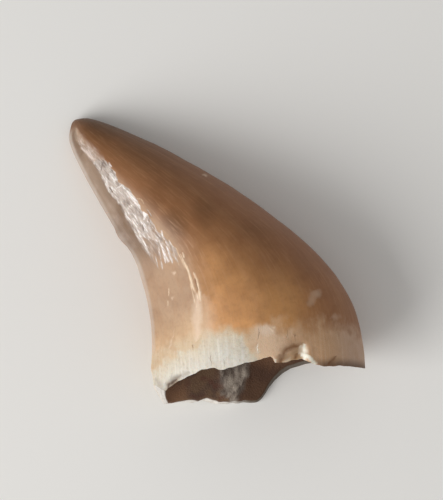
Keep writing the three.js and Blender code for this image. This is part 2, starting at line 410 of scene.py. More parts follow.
# Pale scars and chips in the sound enamel. Then pale streaks: two soft ones below the crease, a hair line
# beside them, and two faint ones near the rear edge, along the band and at the tip; the one at the tip is
# painted rim light.
SCARS = [
    ((11.45, -3.8), (0.95, 0.65), 0.34),
    ((11.0, -4.4), (0.6, 0.8), 0.28),
    ((13.6, -6.4), (0.6, 0.45), 0.22),
    ((-1.3, 10.2), (0.35, 0.28), 0.6),
    ((-4.9, -1.4), (0.24, 0.26), 0.6),
    ((-4.9, -4.1), (0.18, 0.2), 0.5),
    ((-14.5, 9.9), (0.22, 0.24), 0.2),
    ((5.7, -7.8), (1.3, 0.75), 0.85),
]
PALE_STREAKS = [
    ([(-1.8, -3.4), (-2.1, -5.0), (-2.1, -6.8), (-2.3, -9.2)], 1.7, 0.65),
    ([(-1.3, -3.8), (-0.9, -6.0), (-0.8, -8.0), (-0.8, -9.6)], 2.6, 0.26),
    ([(-4.8, -7.9), (-5.1, -9.2), (-5.7, -10.5)], 0.2, 0.35),
    ([(-15.8, 12.8), (-14.0, 8.9), (-12.9, 6.9), (-12.0, 5.0)], 3.6, 0.13),
    # Painted rim light at the tip.
    ([(-16.7, 15.8), (-16.3, 14.4), (-15.9, 13.2)], 1.0, 0.3),
]
# Darker clouds in the enamel, the second of them painted shade over the crown's crest. Painted highlights
# of warm yellow-brown, a broad pool of light low on the dome and a fainter one above it. A pale haze
# beside the band, and a darker stripe of painted shade along the crown's crest.
CLOUDS = [
    ((-1.4, 5.9), (1.8, 2.4), 0.35),
    ((-5.2, 3.9), (2.3, 2.7), 0.62),
    ((-7.4, 6.8), (1.8, 2.2), 0.32),
    ((4.9, 4.0), (2.6, 1.6), 0.3),
    ((-6.0, 9.3), (2.2, 1.3), 0.2),
]
PAINTED_HIGHLIGHTS = [((2.3, -6.2), (4.0, 5.4), 0.9), ((-0.2, -0.3), (2.4, 2.6), 0.35)]
HAZE = [((-8.4, 6.4), (1.4, 2.4), 0.18)]
PAINTED_SHADE_CREST = [([(-4.4, 2.4), (-2.6, 0.4), (-1.3, -2.2), (-0.6, -4.6)], 3.2, 0.2)]


def flaked_band(u, v, x, y, dome):
    """Share, height in millimetres and tone of the flaked band, and the share of it that is worn
    smooth. The share is a product of smoothsteps of the distances to its borders, shifted by noise.
    Inside it lie two sizes of flake scars, bowls with ridges between them, and fibres. Its tone has
    painted highlights on the ridges and painted shade in the bowls."""
    width = crown_width(u)
    across, along = v * width, u * CROWN_LENGTH
    worn = smoothstep(u + 0.01 * rough(23, across * 1.5, along * 0.8, 0.5), WORN_FROM, WORN_TO)
    rear = (v - read(BAND_REAR, u)) * width + 0.07 * rough(21, along * 1.2, 0.0, 0.5)
    front = (read(BAND_FRONT, u) - v) * width + 0.09 * rough(22, along * 1.8, 0.0, 0.5)
    low = (u - BAND_FROM) * CROWN_LENGTH + 0.9 * rough(24, across * 1.8, along * 0.15, 0.5)
    soft = lerp(*BORDER_SOFTNESS, worn)
    share = smoothstep(rear, -0.06, 0.12) * smoothstep(front, -soft, soft) * smoothstep(low, -0.4, 1.2)
    share = share * smoothstep(BAND_TO - u, 0.0, BAND_FADE)

    warp = 0.5 * rough(25, across * 1.3, along * 0.6, 0.5)
    value, tilt, bowl, ridge = facets(26, across * 1.25 + warp, along * 0.62 + warp)
    fine_value, fine_tilt, _, fine_ridge = facets(31, across * 3.0 - warp, along * 1.25 + warp)
    fibres = rough(37, across * 5.5, along * 0.9, 0.5)
    broken_up = 1 + 0.35 * fibres
    lips = smoothstep(strokes(x + 0.2 * warp, y, LIPS) * broken_up, 0.0, 0.9)
    crevices = smoothstep(strokes(x, y, CREVICES), 0.0, 0.7)
    bowls = smoothstep(hills(x + 0.5 * warp, y - 0.5 * warp, BOWLS), 0.0, 0.9)
    islands = smoothstep(hills(x + 0.6 * warp, y + warp, ISLANDS), 0.0, 0.7) * (1 - lips)
    rear_lip = smoothstep(0.42 - rear, 0.0, 0.25) * smoothstep(rear, -0.05, 0.1) * (1 - worn)
    rear_lip = np.clip(rear_lip * (0.8 + 0.6 * fibres), 0.0, 1.0)
    patches = smoothstep(u + 0.05 * value + 0.03 * fine_value, PATCHY_FROM, PATCHY_TO)
    frosted = np.clip(PATCHY_SHARE + 0.3 * fibres + 0.15 * fine_value, 0.0, 1.0)
    bare = lerp(frosted, 1.0, patches) * (1 - 0.6 * islands)
    bare = np.maximum(bare, np.maximum(lips, 0.8 * rear_lip))
    share = np.maximum(share * bare, lips * (u < WORN_FROM)) * dome

    chips = FLAKE_STEP * value + FLAKE_SLANT * tilt + FLAKE_BOWL * bowl
    chips = chips + FINE_STEP * fine_value + FINE_SLANT * fine_tilt
    height = -lerp(*BAND_DEPTH, worn) + (chips + FIBRE_HEIGHT * fibres) * (1 - worn)
    height = height + LIP_HEIGHT * lips - CREVICE_DEPTH * crevices
    height = height - BOWL_DEPTH * bowls + REAR_LIP_HEIGHT * rear_lip
    tone = 0.38 + 0.14 * value + 0.1 * fine_value + 0.2 * fibres
    # Painted highlights on the ridges between the flake scars.
    tone = tone + 0.16 * (1 - smoothstep(ridge, 0.0, 0.2))
    tone = tone + 0.08 * (1 - smoothstep(fine_ridge, 0.0, 0.15))
    # Painted shade in the bowls, and darker where the band is only patchily bare.
    tone = tone - 0.4 * bowls - 0.15 * (1 - patches)
    tone = lerp(tone, 0.65, rear_lip)
    tone = lerp(tone, 0.9, lips)
    tone = lerp(tone, 0.0, crevices)
    return share, height * share, np.clip(tone, 0.0, 1.0), worn


# --- The broken, weathered base ---
# Upper borders of the weathered zone, and of the white chalk within it, as (v, u).
WEATHERED_TOP = [
    (0.00, 0.128), (0.07, 0.146), (0.12, 0.15), (0.32, 0.15), (0.37, 0.156), (0.43, 0.136),
    (0.46, 0.13), (0.49, 0.14), (0.51, 0.15), (0.58, 0.147), (0.65, 0.134), (0.71, 0.132),
    (0.78, 0.142), (0.85, 0.15), (0.9, 0.143), (1.00, 0.128),
]
CHALK_TOP = [
    (0.00, 0.088), (0.03, 0.094), (0.08, 0.108), (0.16, 0.115), (0.22, 0.118), (0.26, 0.128),
    (0.32, 0.138), (0.36, 0.141), (0.39, 0.133), (0.435, 0.123), (0.45, 0.108), (0.465, 0.093),
    (0.49, 0.086), (0.51, 0.075), (0.53, 0.062), (0.58, 0.045), (1.00, 0.03),
]
# Hollows where the showing wall has broken away at its edge: the greatest depth, then each side by a
# place on it, the direction in degrees that leads into the hollow, and the run over which it drops.
HOLLOWS = [
    (0.65, [((7.5, -10.6), -60, 0.9), ((10.55, -10.0), 183, 0.6)]),
    (0.07, [((10.8, -10.3), 0, 0.4), ((12.1, -10.3), 185, 0.5), ((11.3, -9.5), -90, 0.4)]),
    (0.2, [((12.9, -11.3), -56, 0.6), ((15.2, -11.8), 170, 1.8)]),
    (0.16, [((-5.85, -14.3), -48, 0.4), ((-3.8, -13.6), 205, 0.8)]),
]
# Brown along the hollows' edges, partly stain and partly painted shade; and bright clean breaks, partly
# painted glint.
STAINED_AND_SHADED_EDGES = [
    ([(7.4, -11.7), (7.5, -10.8), (7.75, -10.3), (8.1, -10.0), (8.8, -9.7), (9.6, -9.6)], 1.5, 0.85),
    ([(7.3, -12.2), (7.3, -11.0), (7.8, -10.2), (8.6, -9.7), (9.9, -9.3)], 2.6, 0.45),
    ([(7.1, -10.5), (7.2, -11.2), (7.3, -12.1)], 1.6, 0.7),
    ([(9.45, -10.5), (9.25, -11.0), (9.2, -11.5)], 0.9, 0.8),
    ([(13.8, -10.9), (12.9, -11.9)], 1.2, 0.75),
    ([(-5.4, -14.8), (-5.0, -14.3), (-4.5, -13.9)], 0.6, 0.5),
]
# Grime and painted shade in the small chip at the rear end of the wall and on the corner behind it, and
# the stretch of x and the reach up from the break in which painted shade darkens the front end's edge.
EDGE_SHADE_FROM, EDGE_SHADE_TO, EDGE_SHADE_REACH = 10.8, 12.4, 0.75
GRIME_AND_SHADE_EDGES = [
    ([(-6.0, -15.3), (-5.6, -14.5), (-5.2, -14.05), (-4.8, -13.7), (-4.1, -13.15)], 1.3, 0.85),
    ([(-5.9, -15.2), (-5.55, -14.5), (-5.2, -14.1), (-4.6, -13.7)], 0.9, 1.3),
    ([(-4.6, -13.6), (-3.9, -13.2), (-3.0, -12.8)], 1.1, 0.45),
    ([(-7.1, -13.6), (-6.7, -14.4), (-6.2, -15.4)], 1.2, 0.4),
]
BRIGHT_BREAKS_AND_GLINTS = [
    ([(10.15, -9.4), (10.2, -10.1), (10.15, -11.3)], 0.66, 1.0),
    ([(9.75, -9.5), (9.85, -10.6)], 0.8, 0.45),
    ([(10.25, -10.6), (10.65, -11.05), (11.05, -11.4), (11.5, -11.8)], 0.7, 1.0),
    ([(7.7, -11.5), (8.2, -11.4), (8.7, -11.1)], 1.1, 0.26),
    ([(6.75, -11.1), (6.8, -11.8)], 0.6, 0.5),
]


def below(table, v, along):
    """Millimetres below a border around the base, negative above it."""
    return read(table, v) * CROWN_LENGTH - along


def hollowed(x, y):
    """Depth in millimetres of the hollows: the greatest depth times a smoothstep of the distance
    inside each of the sides."""
    total = np.zeros(x.shape)
    for depth, sides in HOLLOWS:
        inside = depth
        for (side_x, side_y), degrees, run in sides:
            angle = np.radians(degrees)
            distance = (x - side_x) * np.cos(angle) + (y - side_y) * np.sin(angle)
            inside = inside * smoothstep(distance, 0.0, run)
        total = np.maximum(total, inside)
    return total


# --- The outside ---
# Swellings of the rear edge: u, the reach along it, and the height in millimetres. Then how far from
# the edge they reach, and the height, reach and raggedness of the low keel, or carina, along it.
REAR_BUMPS = [(0.425, 0.026, 0.24), (0.316, 0.034, 0.22), (0.09, 0.03, 0.2)]
REAR_BUMP_REACH = 0.9
CARINA_HEIGHT, CARINA_REACH, CARINA_RAGGEDNESS = 0.08, 0.35, 0.06
# The last share of the way up the outside, over which the relief fades out to the tip.
TIP_FADE = 0.06
# Radius in millimetres of the ring that stands for the way round the crown in the grain, so that
# streaks run straight along it.
RING_RADIUS = 10.0
# How far noise bends the listed marks, and the height over which the scars set in.
BEND = 0.22
SCAR_LEVEL = (6.2, 7.2)
# Heights of the relief in millimetres: broad swells, growth lines, splinters, the gap and the scars.
SWELL_HEIGHT, STRIAE_HEIGHT = 0.05, 0.005
SLIVER_HEIGHT, GAP_DEPTH, SCAR_DEPTH = 0.06, 0.08, 0.03
# At the base: the chalk's depth and that of the hollows' brown edges, stained and painted with shade, the
# chalk's grooves and pits, and how much of the grooves shows in the weathered enamel.
CHALK_DEPTH, STAIN_AND_SHADE_DEPTH = 0.05, 0.05
GROOVE_HEIGHT, PIT_HEIGHT = 0.04, 0.02
WEATHERED_GROOVES = 0.2
# Where the rear facet's colours end at the tip, and the size in millimetres of the blotches that shift
# the colours' borders.
TIP_BORDER = (0.8, 0.87)
BLOTCH_SIZE = 6


def rear_edge(u, away):
    """Height of the rear cutting edge: a low keel that falls off with the distance from it, with
    bell-shaped swellings and a fine raggedness along it."""
    along = u * CROWN_LENGTH
    swelling = sum(height * np.exp(-(((u - place) / reach) ** 2)) for place, reach, height in REAR_BUMPS)
    worn_stretch = smoothstep(u, 0.3, 0.36) * smoothstep(0.56 - u, 0.0, 0.06)
    ragged = CARINA_RAGGEDNESS * rough(51, along * 0.9, 0.0, 0.5) * worn_stretch
    keel = (CARINA_HEIGHT + ragged) * np.exp(-((away / CARINA_REACH) ** 2))
    return keel + swelling * np.exp(-((away / REAR_BUMP_REACH) ** 2))


def enamel_tones(u, v, x, y, z, dome, from_rear):
    """Masks of the sound enamel's colours and of the light painted on it, which is a highlight low on the
    dome, rim light along the rear edge and shade over the crest: smoothsteps of the way along and across
    the crown, whose borders are shifted by blotches of noise, and the listed clouds."""
    blotch = rough(71, x / BLOTCH_SIZE, y / BLOTCH_SIZE, z / BLOTCH_SIZE)
    umber = smoothstep(u + 0.3 * (v - 0.5) + 0.05 * blotch, 0.44, 0.95)
    # The second cloud and the stripe along the crest are painted shade.
    clouds = np.maximum(hills(x, y, CLOUDS), strokes(x, y, PAINTED_SHADE_CREST)) * dome
    below_tip = 1 - smoothstep(u, *TIP_BORDER)
    facet = smoothstep(0.27 - v + 0.01 * blotch, -0.05, 0.05) * below_tip
    behind_band = read(BAND_REAR, u) - v
    strip = smoothstep(behind_band, -0.03, -0.005) * smoothstep(u, 0.29, 0.4) * below_tip * dome
    shade = strip * smoothstep(0.9 - behind_band * crown_width(u), 0.0, 0.6)
    # Painted rim light: a pale band along the rear edge, faint at the tip and near u = 0.42.
    line = (1 - smoothstep(from_rear, 0.25, 0.75)) * (0.15 + 0.85 * below_tip) * (0.8 + 0.3 * blotch)
    line = line * (1 - 0.7 * hill(u, v, (0.42, 0.0), (0.08, 1.0)))
    return {
        "ochre": smoothstep(0.42 - u - 0.12 * (v - 0.5) + 0.04 * blotch, 0.0, 0.28),
        # Umber darkens the tip and takes in the clouds, among them painted shade over the crest.
        "umber": np.maximum(umber, clouds),
        # Painted highlight: a broad warm pool of light low on the dome.
        "honey": hills(x, y, PAINTED_HIGHLIGHTS) * dome,
        "haze": hills(x, y, HAZE) * dome,
        "flank": smoothstep(v + 0.04 * blotch, 0.66, 0.9) * smoothstep(0.8 - u, 0.0, 0.4),
        "facet": facet,
        "peach": facet * smoothstep(0.24 - u, 0.0, 0.1),
        "strip": strip,
        "shade": shade,
        "line": np.clip(line, 0.0, 1.0),
        "frayed": 0.35 * hill(v, u, (0.28, 0.38), (0.11, 0.17)) * dome,
    }


def outside(u, phi, points):
    """Height in millimetres of the outside's relief, which is the sum of swells, growth lines, the flaked
    band, the rear edge, splinters and grooves less the hollows, and the masks that the enamel reads."""
    x, y, z = np.moveaxis(points, -1, 0)
    v = (1 - np.cos(phi)) / 2
    along = u * CROWN_LENGTH
    ring_x, ring_y = RING_RADIUS * np.cos(phi), RING_RADIUS * np.sin(phi)
    dome = np.where(np.sin(phi) > 0, 1.0, 0.0)
    from_rear = np.linalg.norm(points - section(u, np.zeros_like(phi)), axis=-1)
    bend_x, bend_y = (BEND * rough(seed, x * 1.6, y * 1.6, 0.5) for seed in (74, 77))
    half_bent_x, half_bent_y = x + 0.5 * bend_x, y + 0.5 * bend_y

    flake, flake_height, tone, worn = flaked_band(u, v, x, y, dome)
    splintered = 1 + 0.5 * rough(73, x * 3, y * 1.5, 0.5)
    # Pale splinters, their brightness partly painted glint.
    sliver = smoothstep(strokes(x, y, SLIVERS) * splintered, 0.0, 0.9) * dome
    # A painted shadow between two splinters, over a shallow groove.
    gap = smoothstep(strokes(x, y, SHADOW_GAP_IN_SLIVERS), 0.0, 0.8) * dome
    scar = hills(x + bend_x, y + bend_y, SCARS) * smoothstep(z, *SCAR_LEVEL)
    # Pale scars and streaks, the streak at the tip painted rim light.
    pale = np.maximum(scar, strokes(x + bend_x, y, PALE_STREAKS)) * dome

    weathered, chalk = below(WEATHERED_TOP, v, along), below(CHALK_TOP, v, along)
    hollow = hollowed(x + 0.6 * bend_x, y + 0.6 * bend_y) * dome
    # Brown edges of the hollows: stain and painted shade.
    stained = smoothstep(strokes(half_bent_x, half_bent_y, STAINED_AND_SHADED_EDGES), 0.0, 1.0) * dome
    # Clean pale breaks, partly painted glint.
    bright = smoothstep(strokes(half_bent_x, y, BRIGHT_BREAKS_AND_GLINTS), 0.0, 0.65) * dome
    from_break = along - along[0]
    # Painted shade along the front end's edge, and grime and painted shade in the chip at the rear end.
    grimy = smoothstep(EDGE_SHADE_REACH - from_break, 0.0, EDGE_SHADE_REACH) * smoothstep(x, EDGE_SHADE_FROM, EDGE_SHADE_TO)
    grimy = np.maximum(grimy, strokes(half_bent_x, half_bent_y, GRIME_AND_SHADE_EDGES)) * dome

    swell = SWELL_HEIGHT * rough(41, x / 3.5, y / 3.5, z / 3.5, 2)
    striae = STRIAE_HEIGHT * rough(42, ring_x * 2.2, ring_y * 2.2, along * 0.1)
    height = swell + striae * (1 - flake) + flake_height + rear_edge(u, from_rear)
    height = height + SLIVER_HEIGHT * sliver - GAP_DEPTH * gap - SCAR_DEPTH * scar * dome
    chalky = smoothstep(chalk, -0.4, 0.4)
    grooved = np.maximum(chalky, WEATHERED_GROOVES * smoothstep(weathered, -0.4, 0.8))
    grooves = GROOVE_HEIGHT * rough(45, ring_x * 1.6, ring_y * 1.6, along * 0.25)
    grooves = grooves + PIT_HEIGHT * rough(46, x * 3, y * 3, z * 3)
    height = height - CHALK_DEPTH * chalky + grooves * grooved
    height = height - hollow - STAIN_AND_SHADE_DEPTH * stained
    masks = {
        "flake": flake * (1 - worn),
        # Gleam: pale worn enamel near the tip, with painted sheen.
        "gleam": flake * worn,
        "tone": tone,
        "sliver": sliver,
        "gap": gap,
        "pale": pale,
        "weathered": np.clip(weathered, -4.0, 4.0) / lerp(1.0, 2.2, smoothstep(v, 0.54, 0.64)),
        "chalk": np.clip(chalk, -4.0, 4.0),
        "hollow": smoothstep(hollow, 0.02, 0.3),
        "stained_edge": stained,
        "bright_break": bright,
        "grimy": grimy,
        "around": np.broadcast_to(v, u.shape),
    }
    return height, {**masks, **enamel_tones(u, v, x, y, z, dome, from_rear)}


# --- The broken rim and the pulp cavity ---
# The crust of crystals on the cavity's floor, its brightest crystals, raised and with painted glints, and
# the dark gaps in it.
CRUST = [((2.1, -13.2), (2.0, 2.2), 1.0), ((1.8, -14.9), (1.6, 1.7), 1.0), ((2.1, -16.4), (0.8, 1.2), 0.5)]
RAISED_GLINTING_CRYSTALS = [
    ((1.6, -14.4), (0.4, 0.75), 1.0),
    ((2.2, -15.2), (0.5, 0.4), 1.0),
    ((3.2, -13.5), (0.4, 0.6), 0.8),
    ((0.5, -13.2), (0.35, 0.35), 0.5),
    ((2.3, -13.4), (0.3, 1.4), 0.5),
]
CRYSTAL_GAPS = [
    ([(1.85, -12.6), (1.8, -13.2), (1.9, -14.1)], 0.3, 1.0),
    ([(0.9, -12.9), (1.3, -13.4), (1.7, -13.3)], 0.45, 0.8),
    ([(2.8, -14.9), (2.3, -15.6), (1.95, -15.5), (2.00, -16.4)], 0.28, 0.9),
    ([(3.00, -13.2), (2.9, -14.4), (2.6, -15.0)], 0.3, 0.7),
]
# Paler stretches of the lining, at the rear end and under the broken edge.
PALE_LINING = [((-5.2, -15.6), (2.4, 2.4), 1.0), ((6.2, -11.6), (3.4, 1.2), 0.6)]
# Where brown stain sets in on the front half of the resting wall: by the way across the crown, and by
# minus the sine of phi.
STAIN_BORDER = (0.29, 0.45)
STAIN_DEPTH = (0.05, 0.7)
# Heights in millimetres: the rim's middle ridge and grain, the cavity's lumps and grain, and the
# crust with its crystals' steps and slants, its bright crystals and its gaps.
RIM_RIDGE, RIM_GRAIN = 0.04, 0.06
LUMP_HEIGHT, GRAIN_HEIGHT = 0.1, 0.04
CRUST_HEIGHT, CRYSTAL_STEP, CRYSTAL_SLANT, SMALL_SLANT = 0.22, 0.1, 0.22, 0.05
BRIGHT_HEIGHT, CRYSTAL_GAP_DEPTH = 0.1, 0.16
# How bluntly that relief ends at the rim and at the cavity's top: a power of the sine of the way down.
LUMPS_FADE = 0.3


def rim(t, points):
    """Height of the fracture's relief in millimetres, away from the crown: a ridge and grain, times the
    sine of pi t, which is 0 at the rim's two edges and 1 in the middle of the wall."""
    x, y, z = np.moveaxis(points, -1, 0)
    return np.sin(np.pi * t) * (RIM_RIDGE + RIM_GRAIN * rough(61, x * 1.8, y * 1.8, z * 1.8))


def pulp(phi, points):
    """Height of the cavity's relief in millimetres, lumps of noise and, on the floor, a crust of tilted
    facets, and the masks that the lining reads."""
    x, y, z = np.moveaxis(points, -1, 0)
    value, tilt, _, ridge = facets(62, x * 1.3 + 0.3 * y, y * 0.8)
    small_value, small_tilt, _, _ = facets(92, x * 2.6, y * 2.0)
    warp = 0.35 * rough(85, x * 1.2, y * 1.2, 0.5)
    floor = np.where(np.sin(phi) < 0, 1.0, 0.0)
    crust = smoothstep(hills(x + warp, y + warp, CRUST) * floor, 0.0, 0.5)
    bright = smoothstep(hills(x + 0.4 * warp, y, RAISED_GLINTING_CRYSTALS), 0.0, 0.8)
    gaps = smoothstep(strokes(x + 0.4 * warp, y, CRYSTAL_GAPS), 0.0, 0.8)
    crystals = CRUST_HEIGHT + CRYSTAL_STEP * value + CRYSTAL_SLANT * tilt + SMALL_SLANT * small_tilt
    crystals = crystals + BRIGHT_HEIGHT * bright - CRYSTAL_GAP_DEPTH * gaps
    lumps = LUMP_HEIGHT * rough(86, x * 0.8, y * 0.8, z * 0.8)
    lumps = lumps + GRAIN_HEIGHT * rough(89, x * 3, y * 3, z * 3)
    tone = 0.28 + 0.22 * value + 0.12 * small_value + 0.2 * (1 - smoothstep(ridge, 0.0, 0.15))
    # The brightest crystals take painted glints; the gaps are dark.
    tone = lerp(lerp(tone, 0.95, bright), 0.0, gaps)
    masks = {
        "crystal": crust,
        "tone": np.clip(tone, 0.0, 1.0),
        "pale_lining": hills(x, y, PALE_LINING),
    }
    return lumps + crust * crystals, masks


def tooth_skin():
    """The whole skin: points of every row, which are the section's moved along their normals by the
    relief, the masks at each, and where each lies in the grain, which runs along the crown: its place
    on a ring by phi, and the millimetres along."""
    phi = np.concatenate([
        np.pi * spaced(DOME_COLUMNS, DOME_DENSITY),
        np.pi * (1 + spaced(BELLY_COLUMNS, BELLY_DENSITY)),
    ])
    broken = break_places(phi)

    down = np.append(spaced(PULP_ROWS, PULP_DENSITY), 1.0)[:, None]
    inner_edge = broken + read(INNER_EDGE, np.degrees(phi)) / CROWN_LENGTH
    u_in = lerp(PULP_TOP, inner_edge, down)
    phi_in = np.broadcast_to(phi, u_in.shape)
    taper = 1 - np.minimum(u_in / PULP_TOP, 1.0) ** PULP_TAPER
    inner = section(u_in, phi_in, read(WALL, (1 - np.cos(phi)) / 2), taper)
    lumps, pulp_masks = pulp(phi_in, inner)
    inner = inner + (lumps * np.sin(np.pi * down) ** LUMPS_FADE)[..., None] * normals(inner)

    up = np.append(spaced(CROWN_ROWS, CROWN_DENSITY), 1.0)[:, None]
    u_out = lerp(broken, 1.0, up)
    phi_out = np.broadcast_to(phi, u_out.shape)
    outer = section(u_out, phi_out)
    relief, crown_masks = outside(u_out, phi_out, outer)
    outer = outer + (relief * smoothstep(1 - up, 0.0, TIP_FADE))[..., None] * normals(outer)
    outer[..., 2] = np.maximum(outer[..., 2], 0.0)

    t = np.linspace(0.0, 1.0, RIM_ROWS + 1)[1:-1, None]
    wall = lerp(inner[-1], outer[0], t[..., None])
    off_crown = outer[0] - outer[2]
    off_crown = off_crown / np.linalg.norm(off_crown, axis=-1, keepdims=True)
    wall = wall + rim(t, wall)[..., None] * off_crown

    points = np.concatenate([inner, wall, outer])
    u = np.concatenate([u_in, np.broadcast_to(broken, wall.shape[:2]), u_out])
    masks = {}
    for name in {**crown_masks, **pulp_masks}:
        masks[name] = np.zeros(u.shape)
        masks[name][: len(inner)] = pulp_masks.get(name, 0.0)
        masks[name][-len(outer) :] = crown_masks.get(name, 0.0)
    masks["through_wall"] = np.zeros(u.shape)
    masks["through_wall"][len(inner) : -len(outer)] = t
    masks["through_wall"][-len(outer) :] = 1.0
    stained = smoothstep((1 - np.cos(phi)) / 2, *STAIN_BORDER) * smoothstep(-np.sin(phi), *STAIN_DEPTH)
    masks["stained"] = np.broadcast_to(stained, u.shape)
    ring = [np.broadcast_to(RING_RADIUS * f(phi), u.shape) for f in (np.cos, np.sin)]
    return points, masks, np.stack([*ring, u * CROWN_LENGTH], -1)


def build_mesh(name, points, masks, grain, slots):
    """A closed mesh of the grid: a quad between each two rows and columns, and a fan at each end,
    where a row closes to one point. slots gives each row of quads its material."""
    rows, columns = points.shape[:2]
    kept = slice(columns, (rows - 1) * columns)

    def spread(values):
        """The grid's values in the order of the mesh's vertices: the rows between, then the two ends."""
        flat = values.reshape(rows * columns, -1)
        return np.concatenate([flat[kept], flat[:1], flat[-1:]])

    ring = np.arange((rows - 2) * columns).reshape(rows - 2, columns)
    after = np.roll(ring, -1, 1)
    quads = np.stack([ring[:-1], after[:-1], after[1:], ring[1:]], -1).reshape(-1, 4)
    first_end, last_end = np.full(columns, ring.size), np.full(columns, ring.size + 1)
    fan_in = np.stack([first_end, after[0], ring[0]], -1)
    fan_out = np.stack([ring[-1], after[-1], last_end], -1)
    faces = quads.tolist() + fan_in.tolist() + fan_out.tolist()
    face_slots = np.concatenate([np.repeat(slots[1:-1], columns), np.repeat(slots[[0, -1]], columns)])

    mesh = bpy.data.meshes.new(name)
    mesh.from_pydata((spread(points) * MM).tolist(), [], faces)
    mesh.polygons.foreach_set("material_index", face_slots.astype(np.int32))
    mesh.polygons.foreach_set("use_smooth", np.ones(len(faces), bool))
    for mask, values in masks.items():
        attribute = mesh.attributes.new(mask, "FLOAT", "POINT")
        attribute.data.foreach_set("value", spread(values).ravel().astype(np.float32))
    attribute = mesh.attributes.new("grain", "FLOAT_VECTOR", "POINT")
    attribute.data.foreach_set("vector", spread(grain).ravel().astype(np.float32))
    mesh.update()
    piece = bpy.data.objects.new(name, mesh)
    bpy.context.scene.collection.objects.link(piece)
    return piece


# --- Materials ---
def colour(hex_code):
    """A linear colour with alpha from an sRGB hex code."""
    srgb = np.array([int(hex_code[i : i + 2], 16) for i in (0, 2, 4)]) / 255
    linear = np.where(srgb <= 0.04045, srgb / 12.92, ((srgb + 0.055) / 1.055) ** 2.4)
    return (*linear.tolist(), 1.0)


def add(tree, kind, inputs=None, **settings):
    """Adds a node of a kind with its settings. inputs gives, by a socket's name or number, a value, the
    hex code of a colour, or the output that is linked to it."""
    node = tree.nodes.new("ShaderNode" + kind)
    for name, value in settings.items():
        setattr(node, name, value)
    for name, value in (inputs or {}).items():
        if isinstance(value, bpy.types.NodeSocket):
            tree.links.new(value, node.inputs[name])
        else:
            node.inputs[name].default_value = colour(value) if isinstance(value, str) else value
    return node


def new_material(name):
    """An empty node material and its tree."""
    material = bpy.data.materials.new(name)
    material.use_nodes = True
    material.node_tree.nodes.clear()
    return material, material.node_tree


def finished(material, sockets):
    """The material, its surface shaded by the values and patterns given for each socket."""
    shader = add(material.node_tree, "BsdfPrincipled", sockets)
    add(material.node_tree, "OutputMaterial", {"Surface": shader.outputs["BSDF"]})
    return material


# Numbers of the Mix node's sockets for A, B and the result, for each kind of value, the names of the
# Map Range node's sockets for a level and its two limits, and the setting that makes its rise smooth.
MIX_SOCKETS = {"RGBA": (6, 7, 2), "FLOAT": (2, 3, 0)}
LEVEL_SOCKETS = ("Value", "From Min", "From Max")
SMOOTH = {"interpolation_type": "SMOOTHSTEP"}


def patterns(tree, masks, blots):
    """Patterns by name: the skin's masks, and random blots. Each blot gives its coordinates, "object" or
    "grain", its size in millimetres, in all or along each axis, its layers of detail, and the two
    noise levels between which it rises from 0 to 1."""
    found = {name: add(tree, "Attribute", attribute_name=name).outputs["Fac"] for name in masks}
    metres = add(tree, "TexCoord").outputs["Object"]
    places = {
        "object": add(tree, "VectorMath", {0: metres, "Scale": 1 / MM}, operation="SCALE").outputs[0],
        "grain": add(tree, "Attribute", attribute_name="grain").outputs["Vector"],
    }
    for name, (where, size, detail, low, high) in blots.items():
        sizes = np.broadcast_to(size, 3).tolist()
        place = add(tree, "VectorMath", {0: places[where], 1: sizes}, operation="DIVIDE").outputs[0]
        level = add(tree, "TexNoise", {"Vector": place, "Scale": 1.0, "Detail": detail}).outputs["Fac"]
        limits = dict(zip(LEVEL_SOCKETS, (level, low, high)))
        found[name] = add(tree, "MapRange", limits, **SMOOTH).outputs[0]
    return found


def layered(tree, pattern, base, layers, kind="RGBA"):
    """The base with each (share, strength, value) laid over it in turn. A share is a pattern's name, or
    (name, low, high), which rises smoothly from 0 to 1 between the two levels. A strength is a number
    or a pattern's name, and a value may be the result of other layers."""
    a, b, result = MIX_SOCKETS[kind]
    for share, strength, over in layers:
        if isinstance(share, tuple):
            limits = dict(zip(LEVEL_SOCKETS, (pattern[share[0]], *share[1:])))
            level = add(tree, "MapRange", limits, **SMOOTH).outputs[0]
        else:
            level = pattern[share]
        factors = {0: level, 1: pattern.get(strength, strength)}
        level = add(tree, "Math", factors, operation="MULTIPLY").outputs[0]
        base = add(tree, "Mix", {0: level, a: base, b: over}, data_type=kind).outputs[result]
    return base


def fringed(tree, depth, fringe, reach, softness):
    """A share that is 1 below a border, from the millimetres below it shifted by a fringe pattern."""
    level = add(tree, "Math", {0: fringe, 1: reach, 2: depth}, operation="MULTIPLY_ADD").outputs[0]
    limits = dict(zip(LEVEL_SOCKETS, (level, (reach - softness) / 2, (reach + softness) / 2)))
    return add(tree, "MapRange", limits, **SMOOTH).outputs[0]


def raised(tree, pattern, rows):
    """A normal bumped by the sum of named patterns, each with its height in millimetres."""
    height = 0.0
    for name, tall in rows:
        terms = {0: pattern[name], 1: tall, 2: height}
        height = add(tree, "Math", terms, operation="MULTIPLY_ADD").outputs[0]
    return add(tree, "Bump", {"Height": height, "Distance": MM}).outputs["Normal"]


# Fine cracks in the weathered enamel, and a bright chipped edge beside the longest, seen from above:
# place, length and width in millimetres. Then how far a wobble bends them, and the height they are
# centred at and their reach from it, which takes in the dome.
CRACKS = [
    ((4.8, -8.2), 1.9, 0.13),
    ((8.1, -8.2), 1.4, 0.09),
    ((9.0, -8.7), 1.4, 0.09),
    ((-2.7, -9.9), 0.9, 0.09),
    ((-0.6, -11.3), 1.7, 0.07),
    ((0.9, -11.6), 1.2, 0.07),
]
BRIGHT_EDGES = [((4.7, -9.8), 1.3, 0.16)]
CRACK_BEND = 0.3
CRACK_LEVEL, CRACK_REACH = 12.0, 12.0


